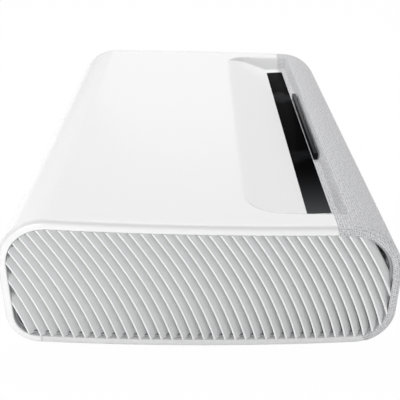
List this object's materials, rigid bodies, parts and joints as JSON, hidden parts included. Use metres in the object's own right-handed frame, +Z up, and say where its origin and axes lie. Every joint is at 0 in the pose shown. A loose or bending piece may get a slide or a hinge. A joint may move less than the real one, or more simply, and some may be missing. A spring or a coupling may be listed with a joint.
{
  "type": "short-throw projector with disc drive",
  "caption": "Long low white short-throw projector with a window valley in its lid, a cloth front, louvred ends and a slim disc tray.",
  "frame": {"origin": "on the floor under the middle of the housing", "axes": "+X along the long side, cloth front facing -Y, +Z up"},
  "size_m": [0.551, 0.367, 0.1409],
  "materials": {
    "gloss_white": "polished",
    "fin_white": "satin",
    "base_white": "satin",
    "grey_cloth": "fine weave",
    "black_glass": "polished",
    "bar_black": "polished",
    "dark_plastic": "moulded",
    "frame_plastic": "moulded",
    "button_metal": "satin",
    "steel": "rolled sheet",
    "cast_alloy": "die-cast",
    "black_alloy": "anodised",
    "fin_alloy": "extruded",
    "copper": "drawn",
    "lens_glass": "polished",
    "mirror_face": "polished",
    "board_green": "solder mask",
    "ribbon": "film",
    "cone_paper": "pressed fibre",
    "foot_rubber": "moulded",
    "ivory_plastic": "moulded",
    "phosphor": "coated"
  },
  "bodies": {
    "root": {"top_cover": "gloss_white", "base_tray": "base_white", "front_frame": "frame_plastic", "front_cloth": "grey_cloth", "left_louvre": "fin_white", "right_louvre": "fin_white", "window_glass": "black_glass", "window_frame": "dark_plastic", "sensor_bar": "bar_black", "rear_panel": "dark_plastic", "mains_inlet": "dark_plastic", "hdmi_ports": "steel", "usb_network_jack": "steel", "audio_ports": "dark_plastic", "optics_chassis": "cast_alloy", "light_engine": "cast_alloy", "laser_module": "copper", "chip_board": "board_green", "lens_barrel": "black_alloy", "focus_motor": "steel", "curved_mirror": "mirror_face", "mirror_bracket": "cast_alloy", "heat_sink": "fin_alloy", "heat_pipes": "copper", "fan_frames": "dark_plastic", "left_speaker_box": "dark_plastic", "right_speaker_box": "dark_plastic", "left_drivers": "black_alloy", "right_drivers": "black_alloy", "main_board": "board_green", "power_board": "board_green", "wiring": "ribbon", "drive_case": "steel", "rear_feet": "foot_rubber", "screws": "steel"},
    "tray": {"disc_tray": "dark_plastic", "tray_door": "frame_plastic", "spindle_motor": "steel", "sled_drive": "steel"},
    "rails": {"drive_rails": "steel"},
    "hub": {"spindle_hub": "dark_plastic"},
    "sled": {"pickup_sled": "black_alloy"},
    "screw": {"lead_screw": "steel"},
    "eject": {"eject_button": "button_metal"},
    "power": {"power_button": "button_metal"},
    "ring": {"focus_ring": "dark_plastic"},
    "pinion": {"focus_pinion": "ivory_plastic"},
    "cell": {"focus_cell": "black_alloy", "front_element": "lens_glass"},
    "wheel": {"diffuser_wheel": "phosphor"},
    "left_front_rotor": {"left_front_fan": "dark_plastic"},
    "left_rear_rotor": {"left_rear_fan": "dark_plastic"},
    "right_front_rotor": {"right_front_fan": "dark_plastic"},
    "right_rear_rotor": {"right_rear_fan": "dark_plastic"},
    "left_woofer": {"left_cone": "cone_paper"},
    "right_woofer": {"right_cone": "cone_paper"},
    "left_foot_stud": {"left_stud": "steel"},
    "right_foot_stud": {"right_stud": "steel"},
    "left_foot_pad": {"left_foot": "foot_rubber"},
    "right_foot_pad": {"right_foot": "foot_rubber"}
  },
  "joints": [
    {"name": "tray_slide", "type": "slide", "parent": "root", "child": "tray", "axis": [0, -1, 0], "range_m": [0, 0.128]},
    {"name": "rail_slide", "type": "slide", "parent": "root", "child": "rails", "axis": [0, -1, 0], "range_m": [0, 0.064]},
    {"name": "disc_spin", "type": "hinge", "parent": "tray", "child": "hub", "pos_m": [0, -0.1175, 0.053], "axis": [0, 0, 1], "continuous": true},
    {"name": "sled_slide", "type": "slide", "parent": "tray", "child": "sled", "axis": [0, 1, 0], "range_m": [0, 0.033]},
    {"name": "lead_screw_turn", "type": "hinge", "parent": "tray", "child": "screw", "pos_m": [0.0245, -0.0775, 0.0487], "axis": [0, 1, 0], "range_deg": [-5, 3965]},
    {"name": "eject_press", "type": "slide", "parent": "tray", "child": "eject", "axis": [0, 1, 0], "range_m": [0, 0.0006], "stiffness_N_per_m": 150},
    {"name": "power_press", "type": "slide", "parent": "root", "child": "power", "axis": [0, -1, 0], "range_m": [0, 0.0008], "stiffness_N_per_m": 250},
    {"name": "focus_turn", "type": "hinge", "parent": "root", "child": "ring", "pos_m": [0, -0.054, 0.0843], "axis": [0, 1, 0], "range_deg": [-31, 31]},
    {"name": "focus_pinion_turn", "type": "hinge", "parent": "root", "child": "pinion", "pos_m": [-0.02412, -0.054, 0.0843], "axis": [0, 1, 0], "range_deg": [-155, 155]},
    {"name": "focus_cell_slide", "type": "slide", "parent": "root", "child": "cell", "axis": [0, 1, 0], "range_m": [-0.0015, 0.0015]},
    {"name": "diffuser_spin", "type": "hinge", "parent": "root", "child": "wheel", "pos_m": [0.024, 0.054, 0.0843], "axis": [0, 1, 0], "continuous": true},
    {"name": "left_front_fan_spin", "type": "hinge", "parent": "root", "child": "left_front_rotor", "pos_m": [-0.228, -0.043, 0.0486], "axis": [1, 0, 0], "continuous": true},
    {"name": "left_rear_fan_spin", "type": "hinge", "parent": "root", "child": "left_rear_rotor", "pos_m": [-0.228, 0.043, 0.0486], "axis": [1, 0, 0], "continuous": true},
    {"name": "right_front_fan_spin", "type": "hinge", "parent": "root", "child": "right_front_rotor", "pos_m": [0.228, -0.043, 0.0486], "axis": [1, 0, 0], "continuous": true},
    {"name": "right_rear_fan_spin", "type": "hinge", "parent": "root", "child": "right_rear_rotor", "pos_m": [0.228, 0.043, 0.0486], "axis": [1, 0, 0], "continuous": true},
    {"name": "left_cone_slide", "type": "slide", "parent": "root", "child": "left_woofer", "axis": [0, -1, 0], "range_m": [-0.0015, 0.0015], "stiffness_N_per_m": 1200},
    {"name": "right_cone_slide", "type": "slide", "parent": "root", "child": "right_woofer", "axis": [0, -1, 0], "range_m": [-0.0015, 0.0015], "stiffness_N_per_m": 1200},
    {"name": "left_foot_drop", "type": "slide", "parent": "root", "child": "left_foot_stud", "axis": [0, 0, -1], "range_m": [0, 0.006]},
    {"name": "left_foot_turn", "type": "hinge", "parent": "left_foot_stud", "child": "left_foot_pad", "pos_m": [-0.205, -0.1255, 0], "axis": [0, 0, 1], "range_deg": [0, 544]},
    {"name": "right_foot_drop", "type": "slide", "parent": "root", "child": "right_foot_stud", "axis": [0, 0, -1], "range_m": [0, 0.006]},
    {"name": "right_foot_turn", "type": "hinge", "parent": "right_foot_stud", "child": "right_foot_pad", "pos_m": [0.205, -0.1255, 0], "axis": [0, 0, 1], "range_deg": [0, 544]}
  ],
  "couplings": [
    {"joint": "rail_slide", "follows": "tray_slide", "ratio": 0.5},
    {"joint": "lead_screw_turn", "follows": "sled_slide", "rad_per_m": 2094.4},
    {"joint": "focus_turn", "follows": "focus_cell_slide", "rad_per_m": 349.07},
    {"joint": "focus_pinion_turn", "follows": "focus_cell_slide", "rad_per_m": -1745.3},
    {"joint": "left_foot_turn", "follows": "left_foot_drop", "rad_per_m": 1570.8},
    {"joint": "right_foot_turn", "follows": "right_foot_drop", "rad_per_m": 1570.8}
  ]
}
